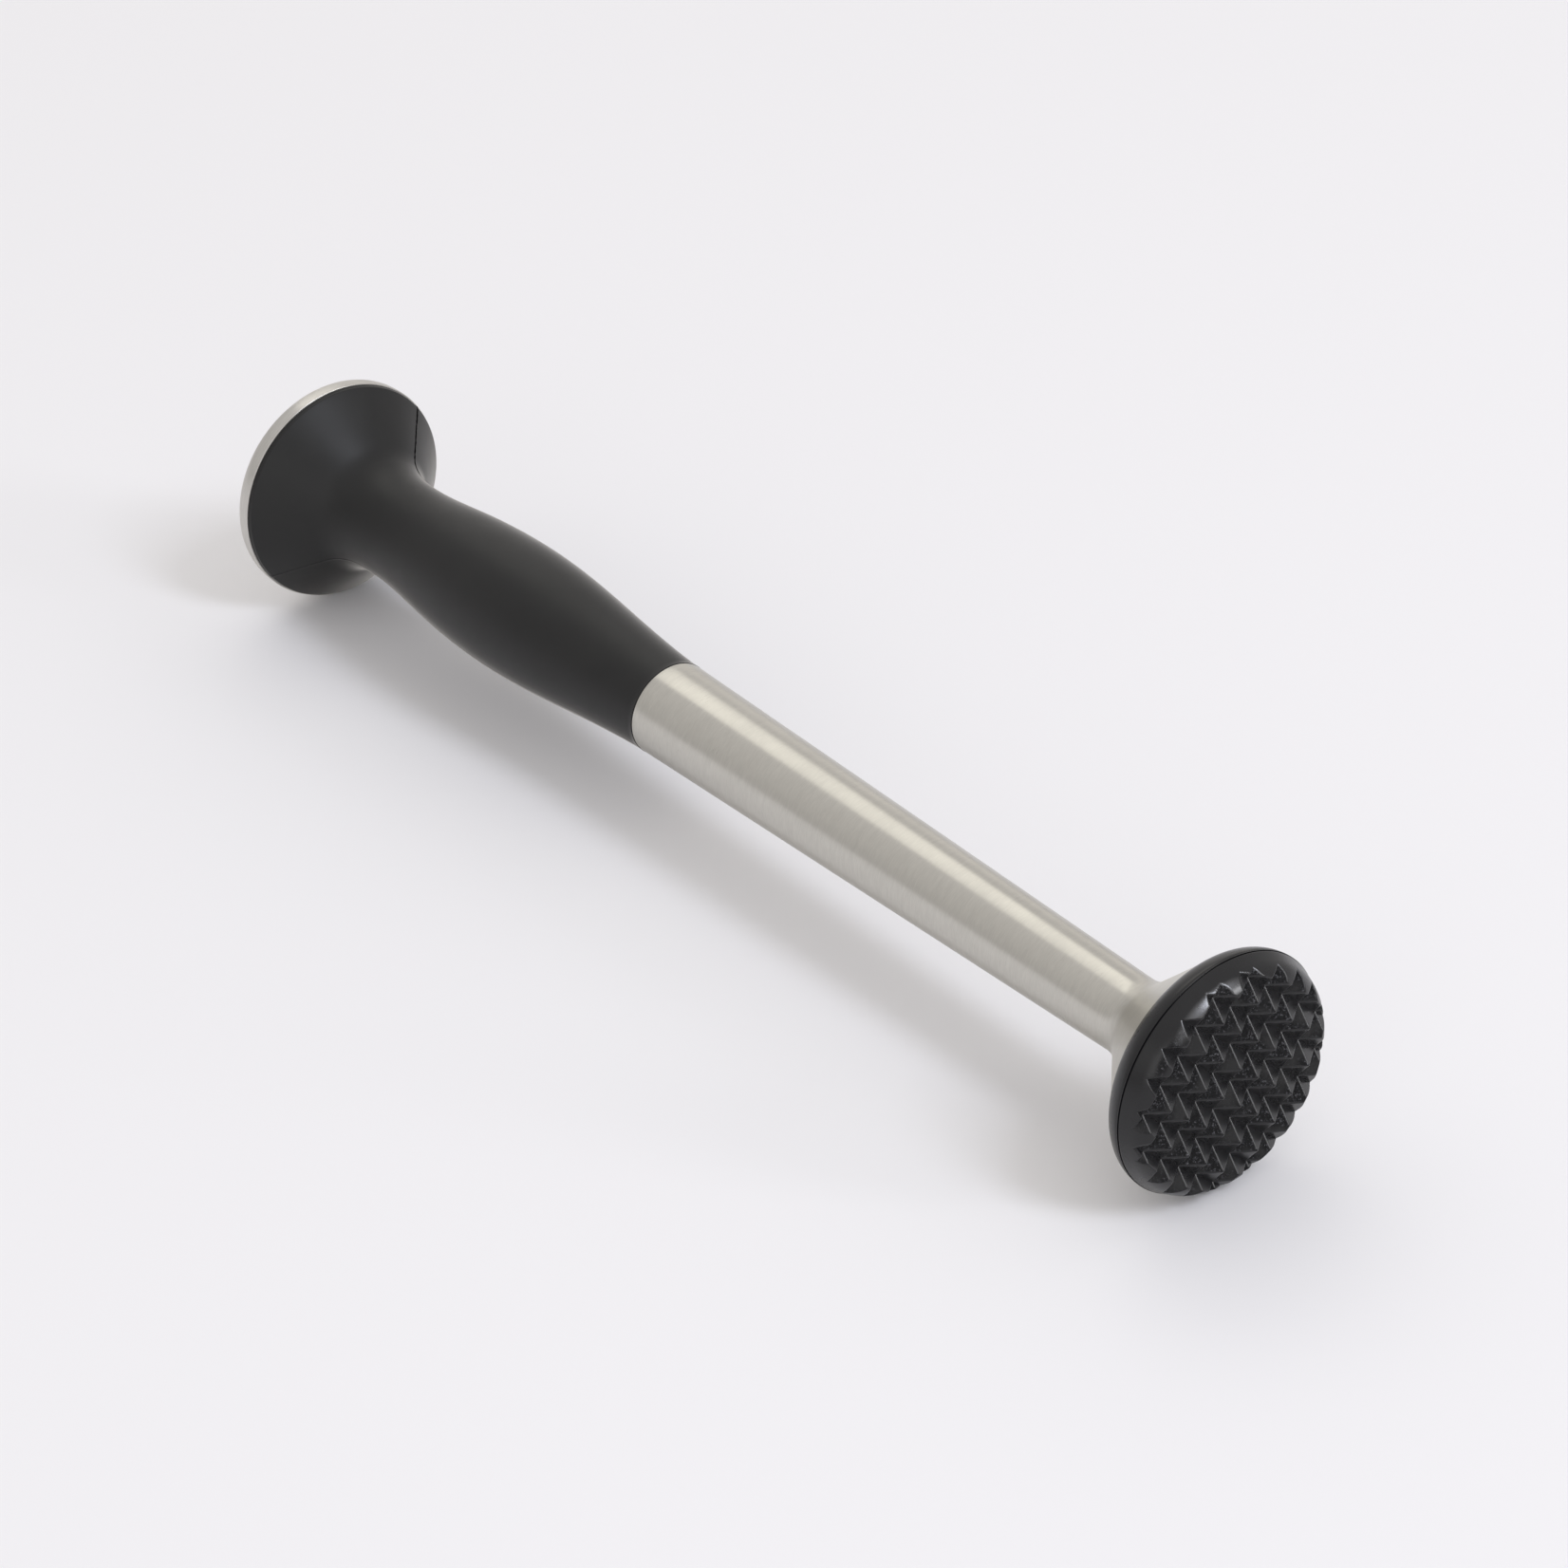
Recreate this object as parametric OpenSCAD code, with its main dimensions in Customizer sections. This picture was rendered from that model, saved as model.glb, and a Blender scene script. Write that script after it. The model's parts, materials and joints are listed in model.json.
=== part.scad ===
// In-line hand mallet: a round toothed head on a tapered steel shaft, with a contoured soft grip
// and a steel pommel.  The tool lies along X.  The origin is the centre of the pommel's flat face,
// +X runs to the teeth and +Z is up when the tool lies on its two discs.
// Every outline is a list of [x, radius] points that is turned about X.

/* [Pommel] */
// Radius of the steel pommel cap
cap_r = 20.7; // [19:0.1:24]
// Depth of the cap, from its flat face to the grip
cap_h = 4.6; // [4:0.1:6]
// Radius of the cap's rounded edge
cap_edge_r = 3.2; // [1.5:0.1:3.4]
// Sheet thickness of the cap
cap_wall = 0.8; // [0.6:0.1:1.2]

/* [Grip] */
// Length of the grip, from the cap to the bare shaft
grip_len = 96.5; // [94:0.5:110]
// Radius of the grip's rim behind the cap
rim_r = 20.6; // [19:0.1:23]
// Angle between the flange's cone and the tool's axis
flange_angle = 45; // [42:1:50]
// Radius of the waist beside the flange
neck_r = 9.5; // [9.2:0.1:11]
// Radius of the belly that fills the palm
belly_r = 11.8; // [11:0.1:14]
// Thickness of the soft cover over the rigid core
cover = 2.2; // [1.6:0.1:2.4]

/* [Shaft] */
// Radius of the shaft where it leaves the grip
shaft_r = 8.4; // [8.2:0.1:9]
// Taper of the shaft on one side, in degrees
shaft_taper = 1; // [0.6:0.1:1.1]
// Wall thickness of the steel
shaft_wall = 1; // [0.8:0.1:1.2]
// Inside radius of the sweep from shaft to bell
bell_sweep_r = 7.4; // [5:0.2:9]
// Angle between the bell and the tool's axis
bell_angle = 44; // [40:1:48]
// Radius of the bell's edge
bell_r = 18.1; // [17:0.1:18.6]

/* [Head] */
// Pommel face to the head's parting line
head_x = 233.3; // [225:0.5:245]
// Largest radius of the head, at its parting line
head_r = 20.5; // [20.2:0.1:22]
// Radius of the head's rounded back edge
head_back_edge_r = 4.6; // [4:0.1:4.8]
// Parting line to the tips of the teeth
face_out = 5.1; // [4.6:0.1:6]
// Draft of the rim in front of the parting line, in degrees
rim_draft = 21.5; // [10:0.5:25]
// Radius of the head's rounded front edge
face_edge_r = 4; // [2:0.1:4.4]

/* [Teeth] */
// Distance from tooth to tooth, and between grooves
tooth_pitch = 5; // [4:0.25:6]
// Width of the flat at a tooth's tip
tooth_flat = 0.16; // [0.1:0.02:0.5]
// Angle from +Y to one row of teeth
tooth_turn = 49; // [0:1:90]

/* [Fasteners] */
// Diameter of the tie rod
rod_d = 5; // [4:0.5:5]
// Thread pitch of the tie rod
rod_pitch = 0.8; // [0.7:0.1:1]
// Length of thread at each end of the rod
rod_thread = 14; // [10:1:16]
// Gap between pieces that nest
gap = 0.05; // [0.02:0.01:0.1]

/* [Hidden] */
$fn = 96;

rod_r = rod_d / 2;
rim_x = cap_h;
grip_end = rim_x + grip_len;
grip_proud = 0.07;
grip_front_r = shaft_r + grip_proud;

// Distances of the grip's stations from its rim
sweep_at = 10.2;
neck_at = 20.4;
rear_flank_at = 34.4;
belly_at = 53;
front_flank_at = 74.4;

// How much of the swelling is left at the flanks
rear_share = 0.52;
front_share = 0.57;

// Waist and belly of the grip: stations of [x, radius, slope]
neck = [rim_x + neck_at, neck_r, 0];
belly = [rim_x + belly_at, belly_r, 0];
rear_flank = [rim_x + rear_flank_at, neck_r + rear_share * (belly_r - neck_r), 0.114];
front_flank = [rim_x + front_flank_at, grip_front_r + front_share * (belly_r - grip_front_r), -0.112];
grip_front = [grip_end, grip_front_r, -0.045];

// Flange of the grip: a short lip, then a cone that sweeps into the waist
lip = 0.8;
lip_fall = 0.1;
lip_edge_r = 0.6;
sweep = [rim_x + sweep_at, neck_r + 1.75];
sweep_slope = -0.4;
sweep_r = 9;

// Back arc of the head and the bell's edge, which lies flush with it
parting_land = 0.2;
back_arc = [head_x - parting_land, head_r - head_back_edge_r];
bell_edge = [back_arc.x - sqrt(pow(head_back_edge_r, 2) - pow(bell_r - back_arc.y, 2)), bell_r];
face_x = head_x + face_out;
face_corner_r = head_r - face_out * tan(rim_draft);

// Hollow core of the handle, with a pocket for the nut
core_flange_t = 2.5;
core_flange_r = rim_r - 3.6;
core_flange_step = 3.4;
core_sweep_at = 8;
core_sweep_cover = 1.1;
core_straight = 10;
spigot_len = 20;
rod_hole_r = rod_r + 0.6;
pocket_r = 6;
pocket_end = rim_x + 15.4;
seal_r = 0.78;
seal_ring_r = 12;
seal_inner_r = seal_ring_r - seal_r - gap;
seal_outer_r = seal_ring_r + seal_r + gap;

// Snap bead of the cap's backing, and its groove in the core
snap_x = rim_x + 5;
snap_h = 0.4;
bead_half = 0.8;
snap_half = 1;
backing_web = 2;
backing_tube_t = 1;
backing_end = rim_x + 7;

// Stack on the tie rod, counted back from the end of the pocket
washer_t = 1;
washer_r = 5;
spring_t = 1.2;
spring_r = 4.6;
spring_slit = 0.8;
spring_slit_turn = 25;
washer_play = 0.2;
nut_h = 4;
nut_corner_r = 4.62;
nut_bevel = 0.5;
rod_proud = 1.2;
flat_x = pocket_end - washer_t;
spring_x = flat_x - spring_t;
nut_x = spring_x - nut_h;
rod_start = nut_x - rod_proud;

// Threaded insert and spigot of the head
insert_r = 3.6;
insert_len = 10;
insert_end = head_x - 1.8;
insert_play = 0.2;
head_spigot_len = 30;
head_spigot_x = head_x - head_spigot_len;
rod_end = insert_end - 0.6;

// Seal between head and bell: its section, and how far up the bell it sits
ring_r = 0.75;
ring_at = 0.52;

function unit(v) = v / norm(v);
function line_dir(a) = [cos(a), sin(a)];

// Points of an arc about c, by the shorter way round
function arc(c, radius, from, to, n = 10) =
    let (turn = to - from, way = turn > 180 ? turn - 360 : turn < -180 ? turn + 360 : turn)
    [for (i = [0:n]) c + radius * line_dir(from + way * i / n)];

// The corner q between p and s, rounded to a radius
function fillet(p, q, s, radius, n = 10) =
    let (u = unit(p - q), v = unit(s - q), half = acos(u * v) / 2,
         c = q + unit(u + v) * radius / sin(half),
         a = q + u * radius / tan(half) - c, b = q + v * radius / tan(half) - c)
    arc(c, radius, atan2(a.y, a.x), atan2(b.y, b.x), n);

// A closed outline from corners of [x, radius, rounding]
function rounded(c) =
    [for (i = [0:len(c) - 1])
        let (p = c[(i + len(c) - 1) % len(c)], q = c[i], s = c[(i + 1) % len(c)])
        each q[2] > 0 ? fillet([p.x, p.y], [q.x, q.y], [s.x, s.y], q[2]) : [[q.x, q.y]]];

// A cubic between two stations of [x, radius, slope], without its last point
function bend(p, q, n = 9) =
    [for (i = [0:n - 1])
        let (t = i / n, h = q.x - p.x)
        [p.x + h * t,
         (2 * t * t * t - 3 * t * t + 1) * p.y + (t * t * t - 2 * t * t + t) * h * p[2]
         + (3 * t * t - 2 * t * t * t) * q.y + (t * t * t - t * t) * h * q[2]]];

function backwards(list) = [for (i = [len(list) - 1:-1:0]) list[i]];

// Where the line through p at angle a meets the line through q at angle b
function meet(p, a, q, b) =
    let (u = line_dir(a), v = line_dir(b), w = q - p)
    p + u * (w.x * v.y - w.y * v.x) / (u.x * v.y - u.y * v.x);

// The shaft and its bell, from x = start to the bell's edge, a depth below the outer surface
function bell_in(depth) = bell_edge + depth * [sin(bell_angle), -cos(bell_angle)];
function shaft_at(x, depth) =
    [x, shaft_r - (x - grip_end) * tan(shaft_taper) - depth / cos(shaft_taper)];
function shaft_line(start, depth) =
    let (tail = shaft_at(start, depth), edge = bell_in(depth),
         corner = meet(tail, -shaft_taper, edge, bell_angle))
    concat([tail], fillet(tail, corner, edge, bell_sweep_r + depth, 14), [edge]);

// The outside of the grip, from its rim to the bare shaft
function grip_line() =
    let (cone_top = [rim_x + lip, rim_r - lip_fall],
         corner = meet(cone_top, -flange_angle, sweep, atan(sweep_slope)),
         turn_in = fillet(cone_top, corner, corner + [1, sweep_slope], sweep_r, 8),
         waist_start = [turn_in[8].x, turn_in[8].y, sweep_slope])
    concat([[rim_x, rim_r]], fillet([rim_x, rim_r], cone_top, corner, lip_edge_r, 4),
           [for (i = [0:7]) turn_in[i]], bend(waist_start, neck),
           bend(neck, rear_flank), bend(rear_flank, belly), bend(belly, front_flank),
           bend(front_flank, grip_front), [[grip_end, grip_front_r]]);

// The outside of the rigid core, from its flange to the end of its spigot
core_front_r = shaft_r - shaft_wall - gap;
core_corners = [[rim_x + gap, core_flange_r, 0],
                [rim_x + core_flange_t, core_flange_r, 0.6],
                [rim_x + core_flange_t, core_flange_r - core_flange_step, 1.5],
                [rim_x + core_sweep_at, neck_r - core_sweep_cover, 5],
                [neck.x, neck_r - cover, 30],
                [belly.x, belly_r - cover, 60],
                [grip_end - core_straight, core_front_r, 30]];
spigot_tip = shaft_at(grip_end + spigot_len, shaft_wall + gap);

module turned(outline, facets = 96) {
    rotate([0, 90, 0])
        rotate_extrude($fn = facets)
            polygon([for (p = outline) [p.y, p.x]]);
}

// A ring of round section about X
module ring(x, ring_radius, section) {
    rotate([0, 90, 0])
        translate([0, 0, x])
            rotate_extrude()
                translate([ring_radius, 0])
                    circle(section, $fn = 32);
}

// Pressed steel cup that closes the handle
module end_cap() {
    color("silver")
        turned(rounded([[0, 0, 0], [0, cap_r, cap_edge_r], [cap_h, cap_r, 0],
                        [cap_h, cap_r - cap_wall, 0], [cap_wall, cap_r - cap_wall, cap_edge_r - cap_wall],
                        [cap_wall, 0, 0]]));
}

// Rigid disc that fills the cup and snaps into the core
module cap_backing() {
    disc_r = cap_r - cap_wall - gap;
    disc_x = cap_wall + gap;
    tube_r = pocket_r - gap;
    bead_r = tube_r + snap_h - gap;
    color("dimgray")
        turned(rounded([[disc_x, 0, 0], [disc_x, disc_r, cap_edge_r - cap_wall], [cap_h, disc_r, 0],
                        [cap_h, tube_r, 0], [snap_x - bead_half, tube_r, 0], [snap_x, bead_r, 0.2],
                        [snap_x + bead_half, tube_r, 0], [backing_end, tube_r, 0.3],
                        [backing_end, tube_r - backing_tube_t, 0],
                        [disc_x + backing_web, tube_r - backing_tube_t, 0.5],
                        [disc_x + backing_web, 0, 0]]));
}

// Round seal between the backing and the core's flange
module cap_seal() {
    color("darkslategray")
        ring(rim_x + gap + seal_r, seal_ring_r, seal_r);
}

// Soft cover moulded over the core
module soft_grip() {
    hollow = rounded(concat([[rim_x, 0, 0]], [for (c = core_corners) [c.x, c.y + gap, c[2]]],
                            [[grip_end, core_front_r + gap, 0], [grip_end, 0, 0]]));
    inside = [for (p = hollow) if (p.y > gap) p];
    color("#3a3a3c")
        turned(concat(grip_line(), backwards(inside)));
}

// Rigid core with a flange, a nut pocket and a spigot for the shaft
module handle_core() {
    rear = rim_x + gap;
    groove_end = rear + 2 * seal_r;
    color("#50525a")
        turned(rounded(concat(core_corners,
            [[grip_end, core_front_r, 0],
             [spigot_tip.x, spigot_tip.y, 0.6], [spigot_tip.x, rod_hole_r, 0],
             [pocket_end, rod_hole_r, 0], [pocket_end, pocket_r, 0], [snap_x + snap_half, pocket_r, 0],
             [snap_x, pocket_r + snap_h, 0.2], [snap_x - snap_half, pocket_r, 0], [rear, pocket_r, 0],
             [rear, seal_inner_r, 0], [groove_end, seal_inner_r, 0], [groove_end, seal_outer_r, 0],
             [rear, seal_outer_r, 0]])));
}

// Steel rod that ties head, shaft and handle together
module tie_rod() {
    root_r = rod_r - 0.6 * rod_pitch;
    turns = floor(rod_thread / rod_pitch);
    function threads(from) =
        [for (i = [0:turns - 1])
            each [[from + i * rod_pitch, root_r], [from + (i + 0.5) * rod_pitch, rod_r]]];
    color("gainsboro")
        turned(concat([[rod_start, 0]], threads(rod_start),
                      [[rod_start + turns * rod_pitch, rod_r], [rod_end - turns * rod_pitch, rod_r]],
                      threads(rod_end - turns * rod_pitch), [[rod_end, root_r], [rod_end, 0]]), 48);
}

// Hexagon nut in the pocket of the core
module tie_nut() {
    color("lightsteelblue")
        difference() {
            intersection() {
                rotate([0, 90, 0])
                    translate([0, 0, nut_x])
                        cylinder(h = nut_h - gap, r = nut_corner_r, $fn = 6);
                turned([[nut_x, 0], [nut_x, nut_corner_r - nut_bevel], [nut_x + nut_bevel, nut_corner_r],
                        [nut_x + nut_h, nut_corner_r], [nut_x + nut_h, 0]], 48);
            }
            rotate([0, 90, 0])
                translate([0, 0, nut_x - 1])
                    cylinder(h = nut_h + 2, r = rod_r + gap, $fn = 48);
        }
}

// Flat ring about X, for the washers
module washer(x, thickness, outer_r) {
    rotate([0, 90, 0])
        translate([0, 0, x])
            difference() {
                cylinder(h = thickness - gap, r = outer_r);
                translate([0, 0, -1])
                    cylinder(h = thickness + 2, r = rod_r + washer_play);
            }
}

// Split washer that keeps the nut tight
module spring_washer() {
    slit_len = 2 * (spring_r - rod_r);
    color("slategray")
        difference() {
            washer(spring_x, spring_t, spring_r);
            translate([spring_x + spring_t / 2, 0, spring_r])
                rotate([0, 0, spring_slit_turn])
                    cube([3 * spring_t, spring_slit, slit_len], center = true);
        }
}

// Plain washer at the end of the pocket
module flat_washer() {
    color("lightgray")
        washer(flat_x, washer_t, washer_r);
}

// Tapered steel tube that opens into a bell
module shaft() {
    color("silver")
        turned(concat(shaft_line(grip_end + gap, 0), backwards(shaft_line(grip_end + gap, shaft_wall))));
}

// Round seal between the bell and the head
module head_seal() {
    centre = seal_centre();
    color("darkslategray")
        ring(centre.x, centre.y, ring_r);
}

function seal_centre() =
    bell_in(shaft_wall + gap + ring_r) - ring_at * (bell_r - shaft_r) * line_dir(bell_angle);

// One pass of parallel V grooves across the face
module grooves() {
    half = (tooth_pitch - tooth_flat) / 2;
    reach = ceil(head_r / tooth_pitch);
    for (i = [-reach:reach])
        translate([face_x, 0, i * tooth_pitch])
            rotate([90, 0, 0])
                linear_extrude(2.4 * head_r, center = true)
                    polygon([[-half, 0], [1, -half - 1], [1, half + 1]]);
}

// Nylon head: a rim flush with the bell, a spigot up the shaft and a toothed face
module toothed_head() {
    nested = shaft_line(head_spigot_x, shaft_wall + gap);
    seat = bell_edge + gap * line_dir(bell_angle);
    seat_angle = 180 - asin((seat.y - back_arc.y) / head_back_edge_r);
    front = fillet([head_x, head_r], [face_x, face_corner_r], [face_x, 0], face_edge_r, 14);
    outline = concat([[head_spigot_x, rod_hole_r]], nested,
                     [bell_in(shaft_wall + gap) + gap * line_dir(bell_angle)],
                     arc(back_arc, head_back_edge_r, seat_angle, 90, 12), [[head_x, head_r]], front,
                     [[face_x, 0], [insert_end + insert_play, 0],
                      [insert_end + insert_play, insert_r + gap],
                      [insert_end - insert_len, insert_r + gap], [insert_end - insert_len, rod_hole_r]]);
    centre = seal_centre();
    color("#303034")
        difference() {
            turned(outline);
            ring(centre.x, centre.y, ring_r + gap);
            rotate([tooth_turn, 0, 0])
                grooves();
            rotate([tooth_turn + 90, 0, 0])
                grooves();
        }
}

// Brass thread that holds the rod in the head, with grooves that key it in the nylon
module head_insert() {
    start = insert_end - insert_len + gap;
    key_pitch = 2;
    key_floor = insert_r - 0.4;
    bevel = 0.3;
    keys = [for (i = [0:3])
        let (at = start + 1 + i * key_pitch)
        each [[at, insert_r], [at + 0.2, key_floor], [at + 0.8, key_floor], [at + 1, insert_r]]];
    color("goldenrod")
        turned(concat([[start, rod_r + gap], [start, insert_r - bevel], [start + bevel, insert_r]], keys,
                      [[insert_end, insert_r], [insert_end, rod_r + gap]]), 48);
}

end_cap();
cap_backing();
cap_seal();
soft_grip();
handle_core();
tie_rod();
tie_nut();
spring_washer();
flat_washer();
shaft();
head_seal();
toothed_head();
head_insert();
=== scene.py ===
"""Looks for the in-line hand mallet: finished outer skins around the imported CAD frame, a pale floor,
soft lights and the camera.  Lengths are in millimetres until a mesh is made."""
import json
import math

import bpy
import numpy as np
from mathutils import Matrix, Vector


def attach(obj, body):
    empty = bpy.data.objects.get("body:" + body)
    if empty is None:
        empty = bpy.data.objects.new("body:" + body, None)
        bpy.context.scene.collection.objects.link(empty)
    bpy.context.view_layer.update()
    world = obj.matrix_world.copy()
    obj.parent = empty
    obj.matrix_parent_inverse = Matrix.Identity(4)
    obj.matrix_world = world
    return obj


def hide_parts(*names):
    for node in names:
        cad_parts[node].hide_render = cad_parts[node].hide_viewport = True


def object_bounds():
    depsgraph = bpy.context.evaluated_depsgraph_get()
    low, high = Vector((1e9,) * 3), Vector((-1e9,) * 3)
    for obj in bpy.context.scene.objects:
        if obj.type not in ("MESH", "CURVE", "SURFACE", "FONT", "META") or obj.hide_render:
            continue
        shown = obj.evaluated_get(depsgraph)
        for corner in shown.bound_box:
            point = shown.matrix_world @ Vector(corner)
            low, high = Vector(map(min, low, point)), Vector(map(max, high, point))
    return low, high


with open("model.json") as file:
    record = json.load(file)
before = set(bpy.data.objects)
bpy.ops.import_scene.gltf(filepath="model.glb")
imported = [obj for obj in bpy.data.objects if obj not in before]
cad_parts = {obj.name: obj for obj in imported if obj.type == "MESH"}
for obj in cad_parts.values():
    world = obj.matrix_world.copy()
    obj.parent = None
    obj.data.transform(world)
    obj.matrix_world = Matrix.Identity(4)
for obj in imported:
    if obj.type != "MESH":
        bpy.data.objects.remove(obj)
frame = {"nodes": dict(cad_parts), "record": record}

MM = 0.001
TURN = 2 * math.pi


def plain(box):
    """A box as plain lists of numbers."""
    return [[float(value) for value in corner] for corner in box]


cad_box = plain(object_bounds())


# ---------------------------------------------------------------- outlines read from the frame

MERGE = 0.006                   # rings closer than this are one ring
LEAST_TURN = math.radians(25)   # corners that turn less than this are not softened
CORNER_STEPS = 3                # edges in the arc that replaces a sharp corner


def rings_of(node):
    """The circles of a turned CAD node as (x, radius), each with the set of circles it touches."""
    mesh = frame["nodes"][node].data
    co = np.array([v.co for v in mesh.vertices]) / MM
    raw = np.round(np.column_stack([co[:, 0], np.hypot(co[:, 1], co[:, 2])]), 3)
    distinct, which = np.unique(raw, axis=0, return_inverse=True)
    which = which.ravel()
    kept, name = [], []
    for point in distinct:
        near = [i for i, other in enumerate(kept) if np.abs(other - point).max() < MERGE]
        name.append(near[0] if near else len(kept))
        if not near:
            kept.append(point)
    keys = [tuple(map(float, point)) for point in kept]
    touching = {key: set() for key in keys}
    for edge in mesh.edges:
        a, b = (keys[name[which[i]]] for i in edge.vertices)
        if a != b:
            touching[a].add(b)
            touching[b].add(a)
    return touching


def outline_of(node):
    """The outline of a turned CAD node as ordered (x, radius) points."""
    touching = rings_of(node)
    ends = [key for key, near in touching.items() if len(near) == 1]
    line = [min(ends) if ends else min(touching)]
    while True:
        ahead = [key for key in touching[line[-1]] if key not in line]
        if not ahead:
            return line
        line.append(min(ahead, key=lambda key: math.dist(key, line[-1])))


def soften(line, radius, closed=True):
    """The outline with each sharp corner replaced by a small arc of about that radius."""
    out = []
    count = len(line)
    for i, point in enumerate(line):
        if not closed and i in (0, count - 1):
            out.append(point)
            continue
        corner = np.array(point)
        back = np.array(line[i - 1]) - corner
        ahead = np.array(line[(i + 1) % count]) - corner
        room = min(np.linalg.norm(back), np.linalg.norm(ahead)) / 2
        back, ahead = back / np.linalg.norm(back), ahead / np.linalg.norm(ahead)
        inner = math.acos(float(np.clip(back @ ahead, -1, 1)))
        if math.pi - inner < LEAST_TURN:
            out.append(point)
            continue
        cut = min(radius / math.tan(inner / 2), room)
        start, end = corner + back * cut, corner + ahead * cut
        for k in range(CORNER_STEPS + 1):
            t = k / CORNER_STEPS
            out.append(tuple((1 - t) ** 2 * start + 2 * t * (1 - t) * corner + t ** 2 * end))
    return out


def refine(line, step):
    """The outline with long stretches divided, so that no edge is longer than step."""
    out = []
    for a, b in zip(line, line[1:] + line[:1]):
        pieces = max(1, math.ceil(math.dist(a, b) / step))
        for k in range(pieces):
            t = k / pieces
            out.append((a[0] + (b[0] - a[0]) * t, a[1] + (b[1] - a[1]) * t))
    return out


# ---------------------------------------------------------------- making meshes

NORMAL_WEIGHT = 60  # how strongly large faces lead the shading


def finish_piece(name, vertices, faces, node, material, slot):
    """A smooth closed mesh that stands for a CAD node and rides on the body."""
    mesh = bpy.data.meshes.new(name)
    mesh.from_pydata(vertices, [], faces)
    mesh.validate()
    mesh.shade_smooth()
    piece = bpy.data.objects.new(name, mesh)
    bpy.context.scene.collection.objects.link(piece)
    mesh.materials.append(material)
    weighted = piece.modifiers.new("face weighted normals", "WEIGHTED_NORMAL")
    weighted.keep_sharp = False
    weighted.weight = NORMAL_WEIGHT
    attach(piece, "root")
    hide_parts(node)
    return piece


def around(x, radius, angle):
    """A point on the circle of that radius about the tool's axis, in metres."""
    return (x * MM, radius * math.cos(angle) * MM, radius * math.sin(angle) * MM)


def turned(line, angles, lift=None):
    """Vertices and faces of a closed outline turned about the axis.  lift adds to the radius."""
    vertices = []
    for x, radius in line:
        for angle in angles:
            vertices.append(around(x, radius + (lift(x, radius, angle) if lift else 0), angle))
    count, rings = len(angles), len(line)
    faces = []
    for i in range(rings):
        here, ahead = i * count, ((i + 1) % rings) * count
        for k in range(count):
            m = (k + 1) % count
            faces.append((here + k, here + m, ahead + m, ahead + k))
    return vertices, faces


def disc_turned(line, angles):
    """The same for an outline that runs from axis to axis, whose ends close with fans."""
    vertices = [around(x, radius, angle) for x, radius in line for angle in angles]
    count = len(angles)
    faces = []
    for i in range(len(line) - 1):
        here, ahead = i * count, (i + 1) * count
        for k in range(count):
            m = (k + 1) % count
            faces.append((here + k, here + m, ahead + m, ahead + k))
    for ring, x in ((0, line[0][0]), (len(line) - 1, line[-1][0])):
        centre = len(vertices)
        vertices.append((x * MM, 0, 0))
        for k in range(count):
            a, b = ring * count + k, ring * count + (k + 1) % count
            faces.append((centre, b, a) if ring == 0 else (centre, a, b))
    return vertices, faces


def even_angles(count):
    """Angles of that many equal steps round the axis."""
    return [TURN * k / count for k in range(count)]


# ---------------------------------------------------------------- materials

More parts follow.
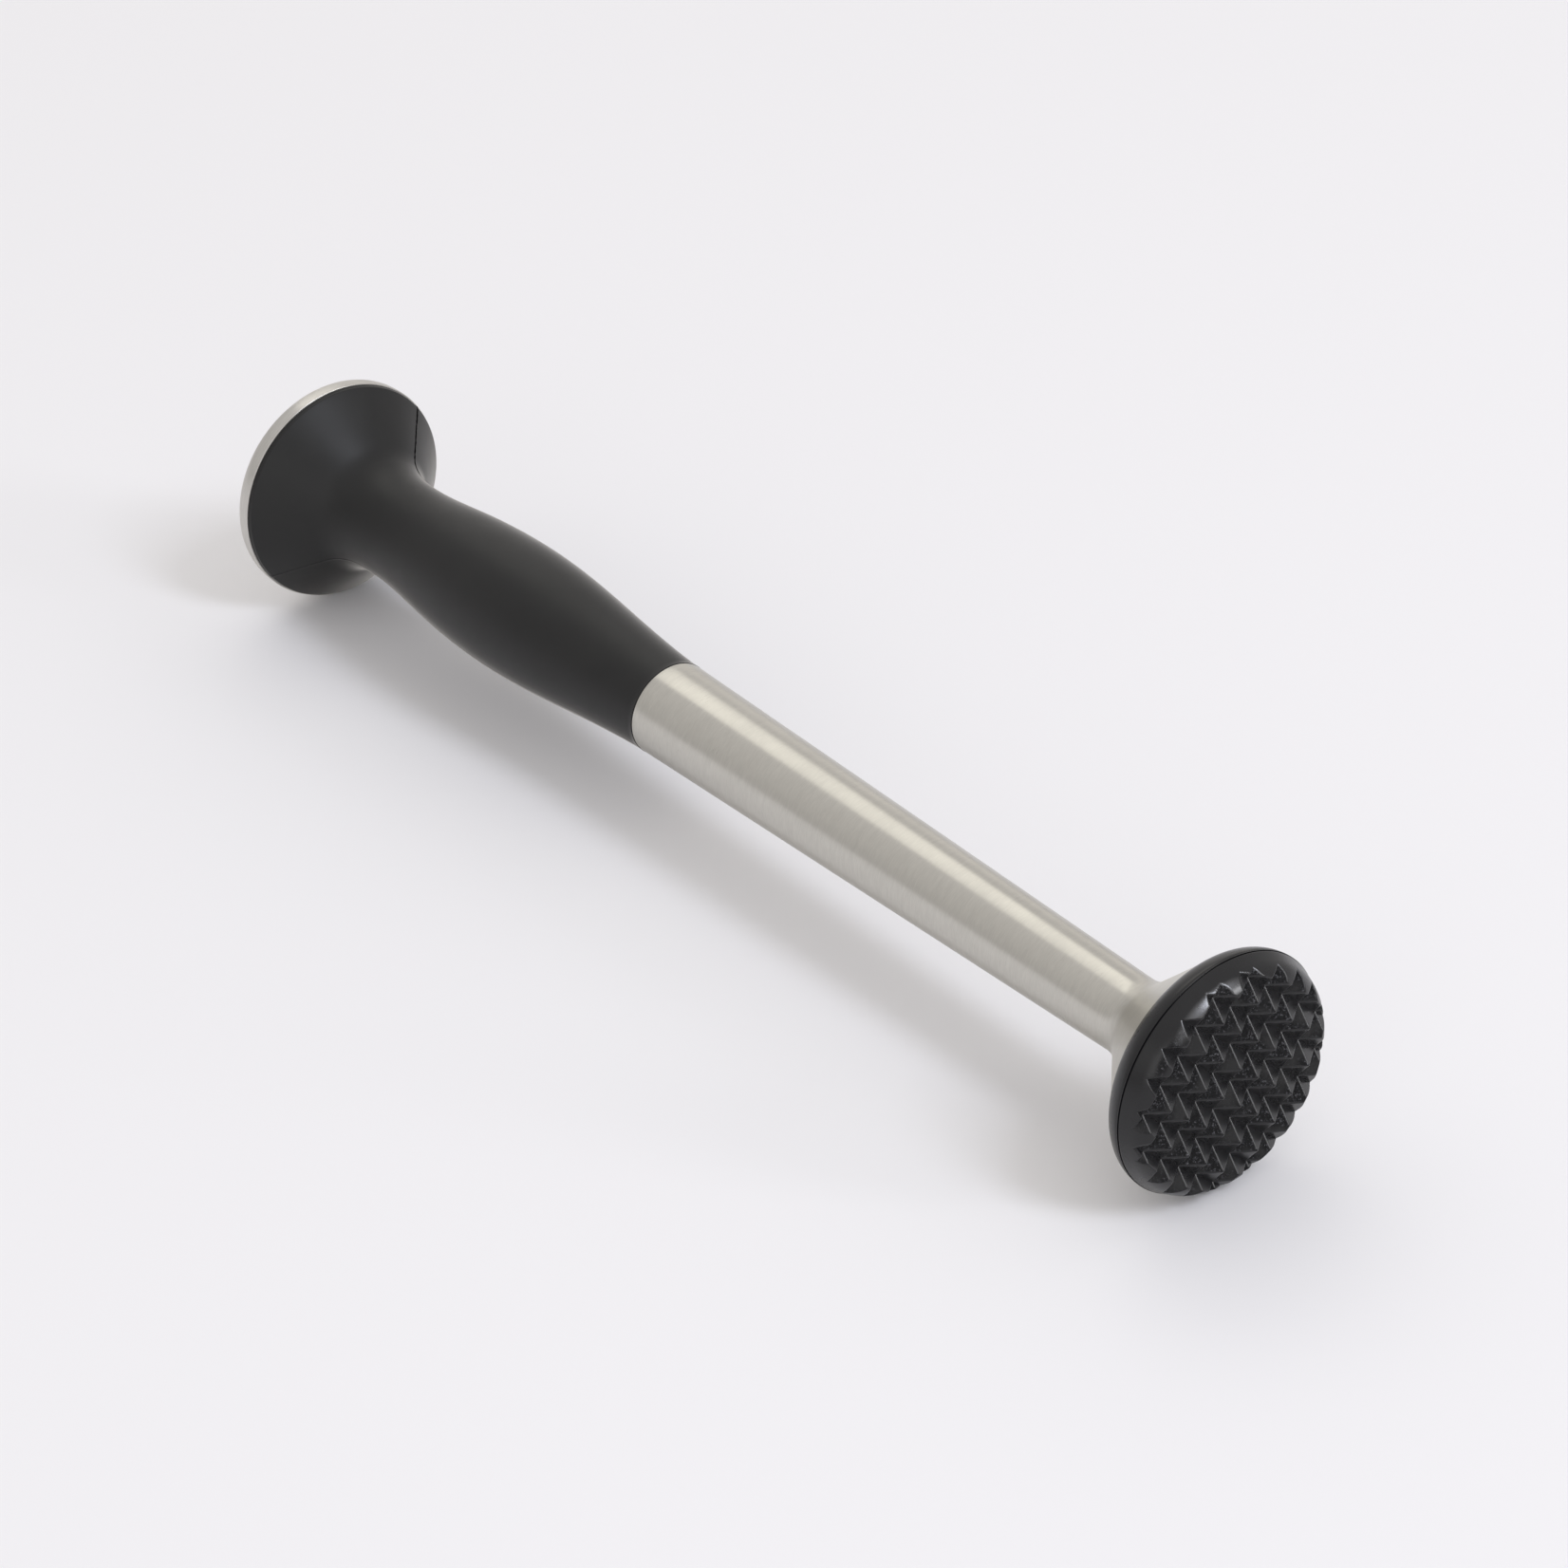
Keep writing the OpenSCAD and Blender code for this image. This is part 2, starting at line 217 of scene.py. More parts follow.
class Shader:
    """A material's node tree, with short calls to add nodes and join them."""

    def __init__(self, name):
        self.material = bpy.data.materials.new(name)
        self.material.use_nodes = True
        self.tree = self.material.node_tree
        self.surface = self.tree.nodes["Principled BSDF"]
        self.place = self.add("ShaderNodeTexCoord").outputs["Object"]

    def add(self, kind, settings=None, **inputs):
        """A new node, with its settings, and its inputs set or joined by name."""
        node = self.tree.nodes.new(kind)
        for key, value in (settings or {}).items():
            setattr(node, key, value)
        for key, value in inputs.items():
            self.put(node, key.replace("_", " "), value)
        return node

    def put(self, node, key, value):
        """Join a socket to a node's input, or give the input a value."""
        if isinstance(value, bpy.types.NodeSocket):
            self.tree.links.new(value, node.inputs[key])
        else:
            node.inputs[key].default_value = value

    def set(self, **inputs):
        """Set or join inputs of the surface itself by name."""
        for key, value in inputs.items():
            self.put(self.surface, key.replace("_", " "), value)

    def stretched(self, x, y, z):
        """Object coordinates divided by a grain size in millimetres along each axis."""
        scale = [1 / (size * MM) for size in (x, y, z)]
        return self.add("ShaderNodeMapping", Vector=self.place, Scale=scale).outputs["Vector"]

    def noise(self, vector, detail=3.0, roughness=0.6):
        """A noise value whose grains are one unit of the vector across."""
        node = self.add("ShaderNodeTexNoise", Vector=vector, Scale=1.0, Detail=detail,
                        Roughness=roughness)
        return node.outputs["Fac"]

    def between(self, factor, low, high, start=0.3, end=0.7):
        """factor from start to end, mapped to low to high.  Noise keeps mostly within the defaults."""
        node = self.add("ShaderNodeMapRange", Value=factor)
        for key, value in (("From Min", start), ("From Max", end), ("To Min", low), ("To Max", high)):
            self.put(node, key, value)
        return node.outputs["Result"]

    def blend(self, factor, low, high):
        """A colour between two colours."""
        node = self.add("ShaderNodeMix", {"data_type": "RGBA"})
        self.tree.links.new(factor, node.inputs[0])
        for index, colour in ((6, low), (7, high)):
            if isinstance(colour, bpy.types.NodeSocket):
                self.tree.links.new(colour, node.inputs[index])
            else:
                node.inputs[index].default_value = (*colour, 1)
        return node.outputs[2]

    def math(self, operation, a, b=0.0):
        """The result of one sum on sockets or numbers."""
        node = self.add("ShaderNodeMath", {"operation": operation})
        for index, value in ((0, a), (1, b)):
            if isinstance(value, bpy.types.NodeSocket):
                self.tree.links.new(value, node.inputs[index])
            else:
                node.inputs[index].default_value = value
        return node.outputs[0]

    def along(self, vector, direction):
        """How far a vector goes in a direction."""
        node = self.add("ShaderNodeVectorMath", {"operation": "DOT_PRODUCT"})
        self.tree.links.new(vector, node.inputs[0])
        node.inputs[1].default_value = direction
        return node.outputs["Value"]

    def bump(self, height, depth_mm, strength):
        """The surface's normal with a height laid on it."""
        node = self.add("ShaderNodeBump", Height=height, Distance=depth_mm * MM, Strength=strength)
        return node.outputs["Normal"]


BRUSH_STREAK = 1.6   # length of one brush mark
BRUSH_SPREAD = 0.75  # how far brushing stretches a highlight, from 0 to 1


def brushed_steel(name, colour, rough, grain):
    """Stainless steel with fine brush marks, one grain wide, that run round the axis."""
    s = Shader(name)
    fine = s.noise(s.stretched(grain, BRUSH_STREAK, BRUSH_STREAK), 4.0, 0.6)
    coarse = s.noise(s.stretched(5 * grain, 2 * BRUSH_STREAK, 2 * BRUSH_STREAK), 2.0, 0.5)
    cloud = s.noise(s.stretched(12, 8, 8), 2.0, 0.5)
    tone = s.math("ADD", s.math("MULTIPLY", fine, 0.7), s.math("MULTIPLY", coarse, 0.3))
    dark = tuple(0.93 * c for c in colour)
    light = tuple(min(1.0, 1.05 * c) for c in colour)
    s.set(Base_Color=s.blend(s.between(tone, 0, 1, 0.36, 0.64), dark, light), Metallic=1.0)
    wear = s.math("ADD", s.math("MULTIPLY", cloud, 0.6), s.math("MULTIPLY", fine, 0.4))
    s.set(Roughness=s.between(wear, rough - 0.03, rough + 0.05))
    tangent = s.add("ShaderNodeTangent", {"direction_type": "RADIAL", "axis": "X"}).outputs[0]
    s.set(Anisotropic=BRUSH_SPREAD, Anisotropic_Rotation=0.25, Tangent=tangent)
    s.set(Normal=s.bump(fine, 0.0025, 0.7))
    return s.material


SEAM_SHADE_WANDER = 0.8         # how raggedly the painted shade along the grip's parting line runs
SEAM_SHADE_EDGE = (0.58, 0.70)  # where that painted shade fades out to each side, counted from its plane with the wander
SEAM_SHADE_FADE = (18, 30)      # the x between which the painted shade fades from the flange to the grip


def soft_rubber(parting):
    """Matt black soft cover: very fine grain, faint clouds, and painted shade along the parting
    plane: a dark ragged line with little shine that stands for the crease beside the mould's ridge,
    strong on the flange and on the side the parting meridian names, faint elsewhere."""
    s = Shader("soft_rubber")
    grain = s.noise(s.stretched(0.14, 0.14, 0.14), 4.0, 0.7)
    cloud = s.noise(s.stretched(9, 7, 7), 3.0, 0.55)
    ragged = s.noise(s.stretched(0.8, 0.8, 0.8), 3.0, 0.75)
    off_plane = s.along(s.place, (0, -math.sin(parting), math.cos(parting)))
    side = s.along(s.place, (0, math.cos(parting), math.sin(parting)))
    reach = s.math("ADD", s.math("ABSOLUTE", off_plane), s.math("MULTIPLY", ragged, SEAM_SHADE_WANDER * MM))
    on_side = s.between(side, 0.12, 1, -MM, MM)
    on_flange = s.between(s.along(s.place, (1, 0, 0)), 1, 0.25, *(x * MM for x in SEAM_SHADE_FADE))
    on_line = s.between(reach, 1, 0, *(width * MM for width in SEAM_SHADE_EDGE))
    # painted shade of the crease beside the parting ridge: it darkens the colour and takes away shine
    # and sheen
    seam_shade = s.math("MULTIPLY", s.math("MULTIPLY", on_side, on_flange), on_line)
    clean = s.blend(s.between(cloud, 0, 1), (0.0088, 0.0088, 0.0088), (0.0118, 0.0118, 0.0114))
    # the painted shade darkens the colour nearly to black along the parting line
    s.set(Base_Color=s.blend(seam_shade, clean, (0.0015, 0.0015, 0.0015)))
    rough = s.between(cloud, 0.43, 0.50)
    s.set(Roughness=s.math("ADD", rough, s.math("MULTIPLY", seam_shade, 0.4)))
    s.set(Specular_IOR_Level=s.math("SUBTRACT", 0.33, s.math("MULTIPLY", seam_shade, 0.31)))
    s.set(Sheen_Weight=s.between(seam_shade, 0.85, 0, 0, 1), Sheen_Roughness=0.25)
    s.set(Sheen_Tint=(1.0, 0.97, 0.92, 1))
    s.set(Normal=s.bump(grain, 0.016, 0.5))
    return s.material


ERODED_MATCH = (0.975, 0.995)   # cosines to the eroded way between which the grain comes in
HIGHLIGHT_BOOST_MATCH = (0.94, 0.98)   # and to the highlight way, between which the painted highlight, extra shine, comes in
RIM_CREASE_SHADE_EDGE = (0.08, 0.16)     # the painted shade in the crease at the rim's parting fades out between these


def nylon(eroded_normal, highlight_normal, parting_x):
    """Black moulded nylon: satin rim, spark-eroded grain on the tooth facets that face one way,
    with painted glints as bright specks in it, a painted highlight as extra shine on the upper edges
    and shoulder, which face the key window's mirror direction, and painted shade as a dark line at the
    parting."""
    s = Shader("nylon")
    grain = s.noise(s.stretched(0.42, 0.42, 0.42), 4.0, 0.8)
    skin = s.noise(s.stretched(0.13, 0.13, 0.13), 3.0, 0.7)
    cloud = s.noise(s.stretched(6, 5, 5), 3.0, 0.55)
    patch = s.noise(s.stretched(4.2, 4.2, 4.2), 1.0, 0.5)
    geometry = s.add("ShaderNodeNewGeometry")
    facet = s.between(s.along(geometry.outputs["True Normal"], eroded_normal), 0, 1, *ERODED_MATCH)
    # painted highlight: a mask of the normals that face the key window's mirror direction
    highlight_boost = s.between(s.along(geometry.outputs["Normal"], highlight_normal), 0, 1, *HIGHLIGHT_BOOST_MATCH)
    eroded = s.math("MULTIPLY", facet, s.between(patch, 0.3, 1, 0.35, 0.52))
    # painted glints: bright specks of colour on the eroded facets stand in for the sparkle of their
    # grain
    painted_glints = s.math("MULTIPLY", eroded, s.between(grain, 0, 1, 0.55, 0.64))
    smooth = s.blend(s.between(cloud, 0, 1), (0.003, 0.003, 0.0038), (0.005, 0.005, 0.0058))
    eroded_with_glints = s.blend(painted_glints, (0.004, 0.004, 0.0045), (0.10, 0.10, 0.108))
    s.set(Base_Color=s.blend(eroded, smooth, eroded_with_glints))
    s.set(Roughness=s.between(cloud, 0.25, 0.30))
    # painted shade: the crease in front of the parting ridge is darkened by taking away its shine
    off_line = s.math("SUBTRACT", s.along(s.place, (1, 0, 0)), parting_x * MM)
    line = s.between(s.math("ABSOLUTE", off_line), 0.46, 0, *(width * MM for width in RIM_CREASE_SHADE_EDGE))
    shine = s.math("SUBTRACT", 0.47, s.math("ADD", line, s.math("MULTIPLY", eroded, 0.30)))
    # painted highlight: the shine rises where normals face the key window's mirror direction
    s.set(Specular_IOR_Level=s.math("ADD", shine, s.math("MULTIPLY", highlight_boost, 0.8)))
    height = s.math("ADD", s.math("MULTIPLY", grain, eroded), s.math("MULTIPLY", skin, 0.02))
    s.set(Normal=s.bump(height, 0.15, 0.9))
    return s.material


def plain_metal(name, colour, rough):
    """Hidden turned or plated metal with faint tool marks."""
    s = Shader(name)
    marks = s.noise(s.stretched(0.3, 4, 4), 3.0)
    s.set(Base_Color=s.blend(marks, tuple(0.8 * c for c in colour), colour), Metallic=1.0)
    s.set(Roughness=s.between(marks, rough - 0.08, rough + 0.08), Normal=s.bump(marks, 0.01, 0.5))
    return s.material


def plain_polymer(name, colour, rough):
    """Hidden moulded plastic or rubber with a light grain."""
    s = Shader(name)
    grain = s.noise(s.stretched(0.3, 0.3, 0.3), 4.0)
    s.set(Base_Color=s.blend(grain, tuple(0.8 * c for c in colour), colour))
    s.set(Roughness=s.between(grain, rough - 0.06, rough + 0.06), Normal=s.bump(grain, 0.02, 0.5))
    return s.material


# ---------------------------------------------------------------- pommel cap

TURN_STEPS = 256
STEEL_EDGE = 0.12  # rounding of the sheet steel's edges

cap_steel = brushed_steel("cap_steel", (0.60, 0.585, 0.55), rough=0.34, grain=0.10)
cap_line = soften(outline_of("end_cap"), STEEL_EDGE, closed=False)
finish_piece("pommel_cap", *disc_turned(cap_line, even_angles(TURN_STEPS)), "end_cap", cap_steel,
             "cap_steel")


# ---------------------------------------------------------------- grip cover

PARTING = math.radians(34.6)  # meridian of the mould's parting line, from +Y towards +Z
PARTINGS = (PARTING, PARTING + math.pi)
FLANGE_REACH = 20       # radius at which the two spacings below are counted
FLASH_STEPS = (0.06, 0.12, 0.216, 0.36, 0.6)  # fine steps to each side of a parting line
FLASH_CLEAR = 0.7       # the even steps stop this far from a parting line
FLASH_HIGH = 0.09       # height of the ridge that the mould leaves along a parting line
FLASH_WIDE = 0.14       # and its half width
FAINT_FLASH = 0.35      # share of that height left on the grip, past the flange
FLANGE_END = 24         # x where the flange ends
NECK_RADIUS = 10.2      # and the radius to which it narrows
RIM_BAND = 0.12         # depth of the rim's edge, which lies a little lower
RIM_DROP = 0.03
SKIN_DEPTH = 0.02       # places deeper than this under the outer surface carry no flash
GRIP_EDGE = 0.25        # rounding of the cover's lips
GRIP_STEP = 1.2         # longest edge along its outline


def off_parting(angle):
    """Angle to the nearer parting line."""
    return min(abs((angle - line + math.pi) % TURN - math.pi) for line in PARTINGS)


def grip_angles():
    """Even steps round the grip, closer together beside the two parting lines."""
    angles = {a for a in even_angles(TURN_STEPS) if off_parting(a) > FLASH_CLEAR / FLANGE_REACH}
    for step in (0, *FLASH_STEPS):
        angles |= {(line + side * step / FLANGE_REACH) % TURN for line in PARTINGS for side in (-1, 1)}
    return sorted(angles)


grip_line = outline_of("soft_grip")
rim_radius = max(radius for _, radius in grip_line)


def outer_radius_at(line, x):
    """Largest radius of the outline at x."""
    best = 0
    for a, b in zip(line, line[1:] + line[:1]):
        low, high = sorted((a, b))
        if low[0] <= x <= high[0]:
            width = high[0] - low[0]
            t = (x - low[0]) / width if width else 0
            best = max(best, low[1] + (high[1] - low[1]) * t, low[1] if not width else 0)
    return best


def flash(x, radius, angle):
    """Height of the thin ridge that the mould leaves along its two parting lines."""
    if radius < outer_radius_at(grip_line, x) - SKIN_DEPTH:
        return 0
    across = off_parting(angle) * radius / FLASH_WIDE
    share = 1 if radius > NECK_RADIUS and x < FLANGE_END else FAINT_FLASH
    drop = RIM_DROP if radius > rim_radius - RIM_BAND else 0
    return share * FLASH_HIGH * math.exp(-across * across) - FLASH_HIGH - drop


grip_skin = refine(soften(grip_line, GRIP_EDGE), GRIP_STEP)
finish_piece("grip_cover", *turned(grip_skin, grip_angles(), flash), "soft_grip", soft_rubber(PARTING),
             "soft_grip")


# ---------------------------------------------------------------- shaft

SHAFT_STEP = 2.0  # longest edge along the shaft's outline

shaft_steel = brushed_steel("shaft_steel", (0.572, 0.556, 0.508), rough=0.30, grain=0.14)
shaft_line = refine(soften(outline_of("shaft"), STEEL_EDGE), SHAFT_STEP)
finish_piece("bell_shaft", *turned(shaft_line, even_angles(TURN_STEPS)), "shaft", shaft_steel,
             "shaft_steel")


# ---------------------------------------------------------------- toothed head

TOOTH_PITCH = 5.0
TOOTH_FLAT = 0.16       # width of the flat on top of a tooth
TOOTH_TURN = math.radians(49)   # angle of the tooth rows, from +Y towards +Z
RIM_DRAFT = math.radians(21.5)  # lean of the rim, in front of the parting line
FACE_EDGE = 4.6         # radius of the shoulder between rim and face
FACE_DROP = 0.292       # the finished face lies this much behind the CAD's
STEPS_PER_TOOTH = 32
GRID = TOOTH_PITCH / STEPS_PER_TOOTH
FACE_REACH = 19.75      # the toothed field's grid ends on this circle
ARRIS_ROUND = 0.16      # rounding of the pyramids' upper edges
LOW_ARRIS_ROUND = 0.45  # and of their lower edges, which the mould leaves blunter
LEAST_ROUND = 0.08      # rounding at a tooth's tip
ROUND_GROWTH = 0.6      # how fast the rounding grows with depth below the tip
SHOULDER_ROUND = 0.08   # rounding where a groove runs out on the shoulder
FLASH_RIM = 0.05        # height of the ridge at the rim's parting line
RIDGE_REACH = 0.3       # the ridge takes this much of the rim behind the parting line
SPIGOT_EDGE = 0.12      # rounding of the head's corners behind it
ONE_STEP = 1.1          # longest grid step, in steps, that counts as one along a row

head_line = outline_of("toothed_head")
widest_ring = max(range(len(head_line)), key=lambda i: head_line[i][1])
head_back = head_line[:widest_ring + 1]
seam_x, head_radius = head_line[widest_ring]
cad_face = max(v.co.x for v in frame["nodes"]["toothed_head"].data.vertices) / MM
face_x = round(cad_face, 3) - FACE_DROP
face_corner = head_radius - (face_x - seam_x) * math.tan(RIM_DRAFT)
edge_cut = FACE_EDGE * math.tan((math.pi / 2 - RIM_DRAFT) / 2)
edge_centre = (face_x - FACE_EDGE, face_corner - edge_cut)
edge_start = (face_x - edge_cut * math.cos(RIM_DRAFT), face_corner + edge_cut * math.sin(RIM_DRAFT))


def shoulder_x(radius):
    """x of the head's smooth front surface at a radius, before the teeth are cut."""
    if radius <= edge_centre[1]:
        return face_x
    if radius < edge_start[1]:
        rise = radius - edge_centre[1]
        return edge_centre[0] + math.sqrt(max(FACE_EDGE ** 2 - rise ** 2, 0))
    return seam_x + (head_radius - radius) / math.tan(RIM_DRAFT)


def soft_max(a, b, width):
    """The larger of two arrays, with a rounded change-over."""
    mix = np.maximum(width - np.abs(a - b), 0) / width
    return np.maximum(a, b) + mix * mix * width / 4


def groove_depth(across):
    """Depth of one set of V grooves, at a distance across them."""
    off_valley = np.abs((across + TOOTH_PITCH / 2) % TOOTH_PITCH - TOOTH_PITCH / 2)
    return np.maximum((TOOTH_PITCH - TOOTH_FLAT) / 2 - off_valley, 0)


def face_surface(u, v):
    """x of the finished face at places given along and across the tooth rows."""
    across, along = groove_depth(u), groove_depth(v)
    low_side = ((u + TOOTH_PITCH / 2) % TOOTH_PITCH) > TOOTH_PITCH / 2
    fullest = np.where(low_side, LOW_ARRIS_ROUND, ARRIS_ROUND)
    rounding = np.clip(ROUND_GROWTH * np.maximum(across, along), LEAST_ROUND, fullest)
    depth = soft_max(across, along, rounding)
    shoulder = np.array([shoulder_x(radius) for radius in np.hypot(u, v)])
    return -soft_max(-shoulder, depth - face_x, SHOULDER_ROUND)


def arris_split(square):
    """A grid square as two triangles, cut along the pyramid edge that runs over it."""
    (i, j), half = square[0], STEPS_PER_TOOTH // 2
    rising = ((i % STEPS_PER_TOOTH < half) == (j % STEPS_PER_TOOTH < half))
    a, b, c, d = square
    return ((a, b, c), (a, c, d)) if rising else ((a, b, d), (b, c, d))


def face_grid():
    """The toothed field: a square grid along the tooth rows, cut off on a circle.
    Returns its places, its faces, its boundary in order round the circle, and its valley edges."""
    count = math.ceil(FACE_REACH / GRID)
    places, faces, index, rim = [], [], {}, {}

    def place(u, v):
        places.append((u, v))
        return len(places) - 1

    def inside(spot):
        return math.hypot(spot[0] * GRID, spot[1] * GRID) < FACE_REACH

    def corner(spot):
        if spot not in index:
            index[spot] = place(spot[0] * GRID, spot[1] * GRID)
        return index[spot]

    def crossing(a, b):
        """The place where the grid line from a to b crosses the circle."""
        key = tuple(sorted((a, b)))
        if key not in rim:
            if a[0] == b[0]:
                u = a[0] * GRID
                v = math.copysign(math.sqrt(FACE_REACH ** 2 - u * u), a[1] + b[1])
            else:
                v = a[1] * GRID
                u = math.copysign(math.sqrt(FACE_REACH ** 2 - v * v), a[0] + b[0])
            rim[key] = place(u, v)
        return rim[key]

    for i in range(-count, count):
        for j in range(-count, count):
            square = [(i, j), (i + 1, j), (i + 1, j + 1), (i, j + 1)]
            kept = [inside(spot) for spot in square]
            if all(kept):
                faces.extend(tuple(corner(spot) for spot in part) for part in arris_split(square))
            elif any(kept):
                face = []
                for k in range(4):
                    here, ahead = square[k], square[(k + 1) % 4]
                    if kept[k]:
                        face.append(corner(here))
                    if kept[k] != kept[(k + 1) % 4]:
                        face.append(crossing(here, ahead))
                faces.append(tuple(face))
    boundary = sorted(rim.values(), key=lambda n: math.atan2(places[n][1], places[n][0]))
    valleys = {n for (i, j), n in index.items() if 0 in (i % STEPS_PER_TOOTH, j % STEPS_PER_TOOTH)}
    return places, faces, boundary, valleys


def rim_line():
    """The head's outline from the toothed field's edge to its bore, with a ridge at the parting."""
    low = head_radius - FLASH_RIM
    front = []
    for share in (0.3, 0.6, 0.85):
        radius = FACE_REACH + share * (low - FACE_REACH)
        front.append((shoulder_x(radius), radius))
    ridge = [(seam_x + 0.22, low - 0.04), (seam_x + 0.11, low - 0.08), (seam_x + 0.05, head_radius),
             (seam_x - 0.05, head_radius), (seam_x - 0.11, low - 0.06), (seam_x - 0.25, low)]
    tail = [point for point in head_back if point[0] < seam_x - RIDGE_REACH]
    return front + ridge + soften(tail[::-1], SPIGOT_EDGE, closed=False)


def sharpen_valleys(mesh, valleys):
    """Keep the bottoms of the grooves sharp in the shading, and everything else smooth."""
    sharp = mesh.attributes.new("sharp_edge", "BOOLEAN", "EDGE")
    for edge in mesh.edges:
        a, b = edge.vertices
        if a in valleys and b in valleys:
            along_row = math.dist(mesh.vertices[a].co[1:], mesh.vertices[b].co[1:])
            sharp.data[edge.index].value = along_row < ONE_STEP * GRID * MM


def toothed_head(material):
    """The whole head as one closed mesh: toothed field, rim, spigot and bore."""
    places, faces, boundary, valleys = face_grid()
    u, v = np.array(places).T
    cos, sin = math.cos(TOOTH_TURN), math.sin(TOOTH_TURN)
    field = np.column_stack([face_surface(u, v), u * cos - v * sin, u * sin + v * cos]) * MM
    vertices = [tuple(map(float, spot)) for spot in field]
    angles = [math.atan2(places[n][1], places[n][0]) + TOOTH_TURN for n in boundary]
    line = rim_line()
    ring = boundary
    count = len(angles)
    for x, radius in line:
        start = len(vertices)
        vertices.extend(around(x, radius, angle) for angle in angles)
        new = list(range(start, start + count))
        for k in range(count):
            m = (k + 1) % count
            faces.append((ring[k], new[k], new[m], ring[m]))
        ring = new
    centre = len(vertices)
    vertices.append((line[-1][0] * MM, 0, 0))
    for k in range(count):
        faces.append((ring[k], centre, ring[(k + 1) % count]))
    head = finish_piece("tooth_head", vertices, faces, "toothed_head", material, "nylon")
    sharpen_valleys(head.data, valleys)
    head.modifiers["face weighted normals"].keep_sharp = True


def leaning(way):
    """A direction halfway between the tool's axis and an angle round it, as the facets face."""
    return Vector((1, math.cos(way), math.sin(way))).normalized()


ERODED_WAY = TOOTH_TURN + math.pi / 2    # the facets with spark-eroded grain face this way
HIGHLIGHT_WAY = TOOTH_TURN + math.pi / 3  # painted highlight: extra shine where the upper edges and shoulder face about this way, the key window's mirror direction
CREASE_SHADE_X = seam_x + 0.12              # painted shade: the crease in front of the ridge, darkened by taking away its shine
toothed_head(nylon(leaning(ERODED_WAY), leaning(HIGHLIGHT_WAY), CREASE_SHADE_X))


# ---------------------------------------------------------------- finishes of the hidden nodes

HIDDEN = {
    "zinc_steel": plain_metal("zinc_steel", (0.70, 0.71, 0.72), 0.34),
    "brass": plain_metal("brass", (0.78, 0.60, 0.30), 0.30),
    "seal_rubber": plain_polymer("seal_rubber", (0.04, 0.04, 0.04), 0.55),
    "rigid_plastic": plain_polymer("rigid_plastic", (0.07, 0.07, 0.075), 0.45),
}
for part in frame["record"]["subparts"]:
    if part["material_slot"] in HIDDEN:
        holder = frame["nodes"][part["node"]]
        holder.data.materials.clear()
        holder.data.materials.append(HIDDEN[part["material_slot"]])


# ---------------------------------------------------------------- floor, light and camera

FLOOR_HALF = 4.0                        # in metres
LIGHT_DISTANCE = 2.5                    # in metres, from the middle of the tool
TOOL_MIDDLE = Vector((120, 0, 0)) * MM
SOFT_LIGHTS = (
    # name, azimuth, elevation, width, height, irradiance, colour
    ("key_window", 14, 48, 0.6, 0.95, 0.90, (0.93, 0.97, 1.09)),
    ("side_strip", 33, 20, 0.45, 0.8, 0.36, (0.98, 0.985, 1.02)),
    ("back_box", 156, 49, 1.55, 0.85, 0.22, (1.05, 1.03, 0.93)),
    ("back_strip", 141, 14, 2.6, 0.6, 0.11, (1.06, 1.0, 0.91)),
    ("front_fill", 310, 20, 2.2, 1.2, 0.34, (1.0, 1.0, 1.01)),
)


def floor():
    """A wide pale tabletop just under the tool."""
    low = min(corner[2] for corner in cad_box)
    half = FLOOR_HALF
    mesh = bpy.data.meshes.new("floor")
    mesh.from_pydata([(-half, -half, low), (half, -half, low), (half, half, low), (-half, half, low)],
                     [], [(0, 1, 2, 3)])
    piece = bpy.data.objects.new("floor", mesh)
    bpy.context.scene.collection.objects.link(piece)
    s = Shader("floor_white")
    s.set(Base_Color=(0.845, 0.84, 0.85, 1), Roughness=0.75, Specular_IOR_Level=0.2)
    mesh.materials.append(s.material)


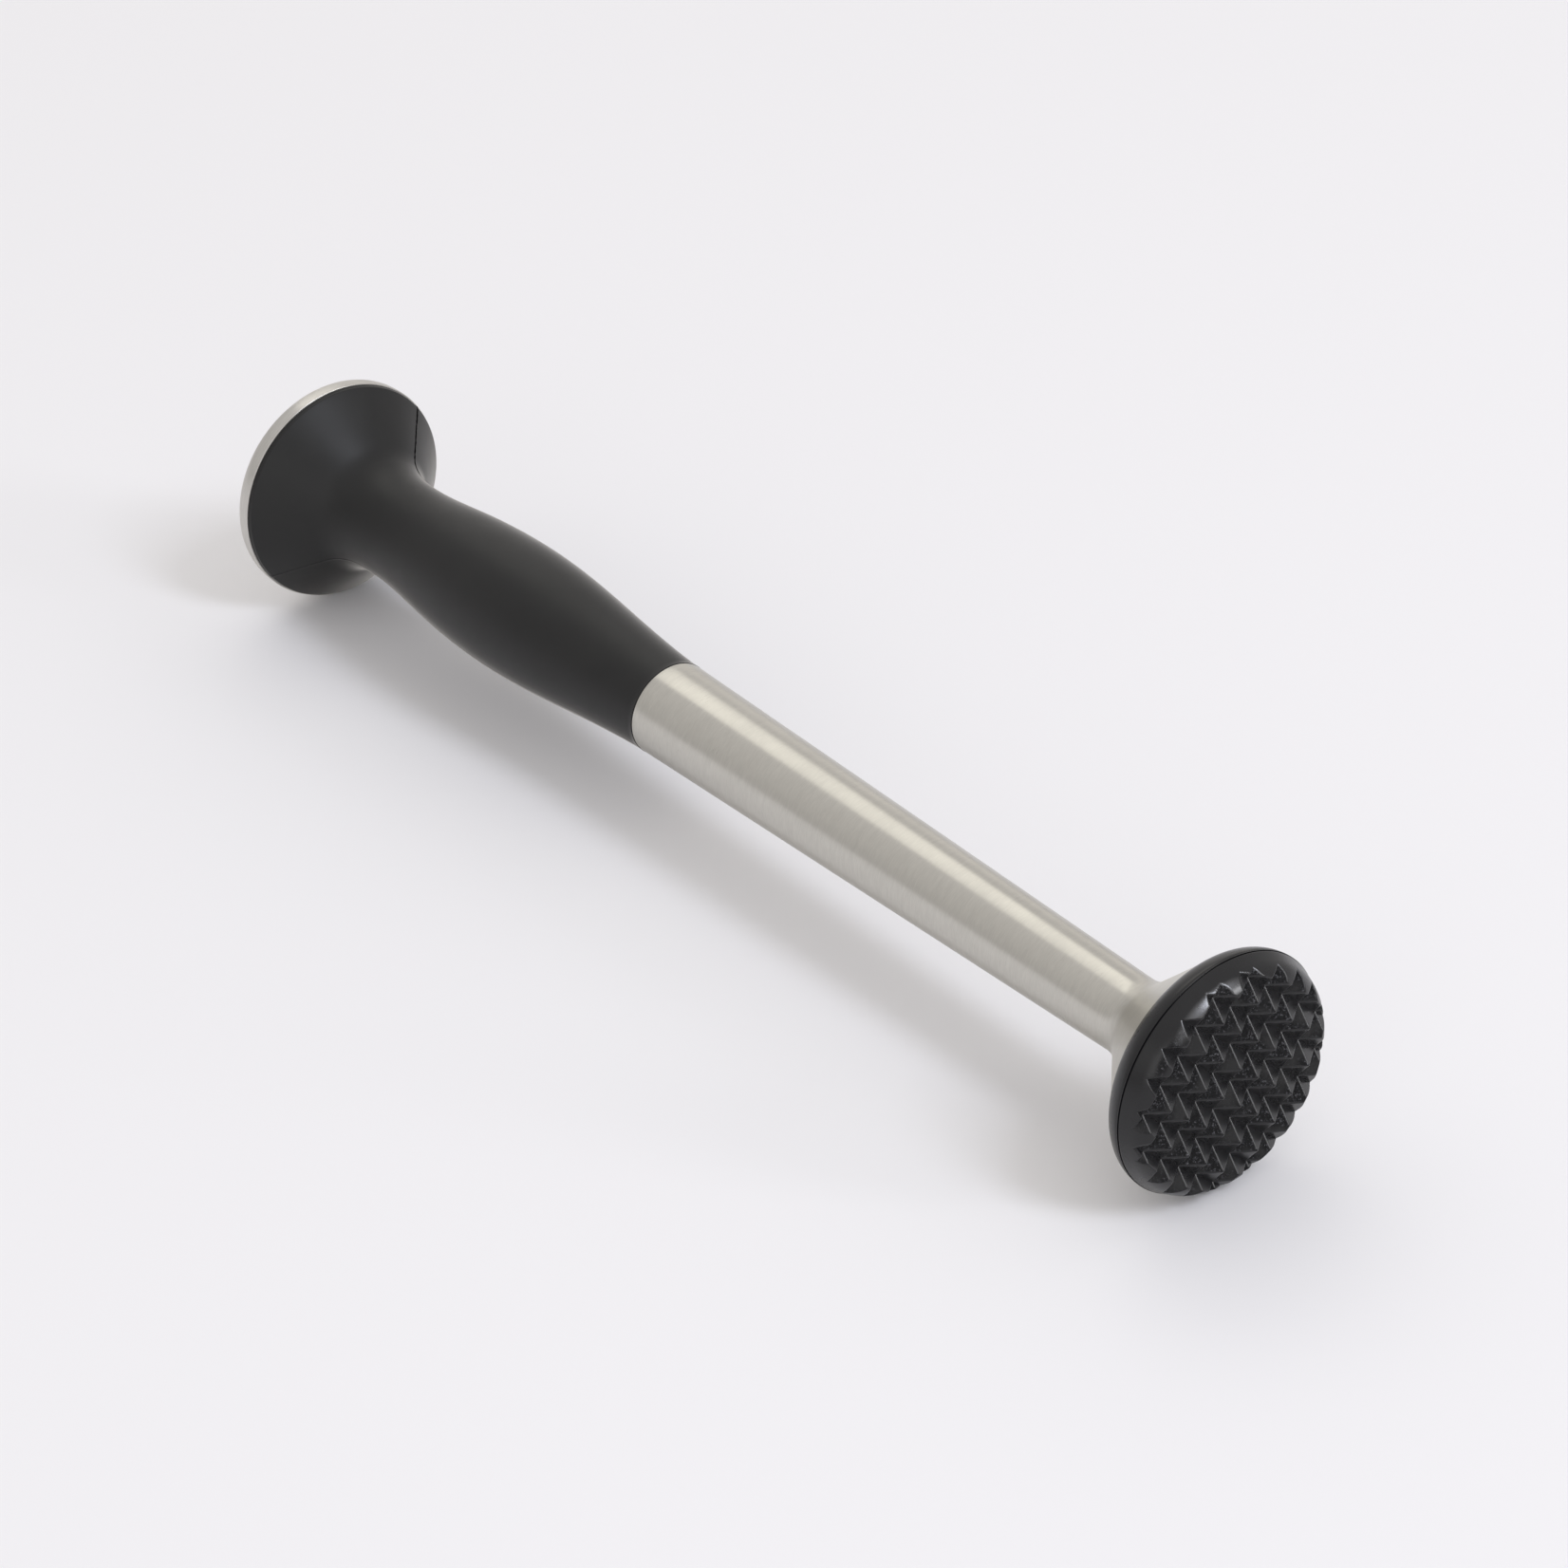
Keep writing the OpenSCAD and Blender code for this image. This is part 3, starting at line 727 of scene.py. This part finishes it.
def soft_light(name, azimuth, elevation, width, height, irradiance, colour):
    """A soft box that looks at the middle of the tool, from an azimuth counted from +X to +Y."""
    data = bpy.data.lights.new(name, "AREA")
    data.shape = "RECTANGLE"
    data.size, data.size_y = width, height
    data.energy = irradiance * math.pi * LIGHT_DISTANCE ** 2
    data.color = colour
    lamp = bpy.data.objects.new(name, data)
    turn, rise = math.radians(azimuth), math.radians(elevation)
    direction = Vector((math.cos(turn) * math.cos(rise), math.sin(turn) * math.cos(rise),
                        math.sin(rise)))
    lamp.location = TOOL_MIDDLE + direction * LIGHT_DISTANCE
    lamp.rotation_euler = direction.to_track_quat("Z", "Y").to_euler()
    bpy.context.scene.collection.objects.link(lamp)


def surroundings(colour, horizon, zenith):
    """Light from all round, brighter overhead than at the horizon."""
    world = bpy.data.worlds.new("studio")
    world.use_nodes = True
    tree = world.node_tree
    direction = tree.nodes.new("ShaderNodeTexCoord")
    parts = tree.nodes.new("ShaderNodeSeparateXYZ")
    climb = tree.nodes.new("ShaderNodeMapRange")
    climb.inputs["To Min"].default_value = horizon
    climb.inputs["To Max"].default_value = zenith
    background = tree.nodes["Background"]
    background.inputs["Color"].default_value = (*colour, 1)
    tree.links.new(direction.outputs["Generated"], parts.inputs[0])
    tree.links.new(parts.outputs["Z"], climb.inputs["Value"])
    tree.links.new(climb.outputs["Result"], background.inputs["Strength"])
    bpy.context.scene.world = world


def camera():
    """The camera looks at a point on the tool's axis from its azimuth and elevation."""
    azimuth, elevation = math.radians(50.64), math.radians(33.09)
    aim, distance = Vector((131.0, 0, 0)) * MM, 749.5 * MM
    back = Vector((math.sin(azimuth) * math.cos(elevation), -math.cos(azimuth) * math.cos(elevation),
                   math.sin(elevation)))
    data = bpy.data.cameras.new("camera")
    data.sensor_width = 36
    data.lens = 105.14
    data.clip_end = 20
    eye = bpy.data.objects.new("camera", data)
    eye.location = aim + back * distance
    eye.rotation_euler = back.to_track_quat("Z", "Y").to_euler()
    bpy.context.scene.collection.objects.link(eye)
    bpy.context.scene.camera = eye


floor()
surroundings((1.012, 0.988, 0.985), horizon=0.555, zenith=0.805)
for soft_box in SOFT_LIGHTS:
    soft_light(*soft_box)
camera()
bpy.context.scene.view_settings.view_transform = "Standard"
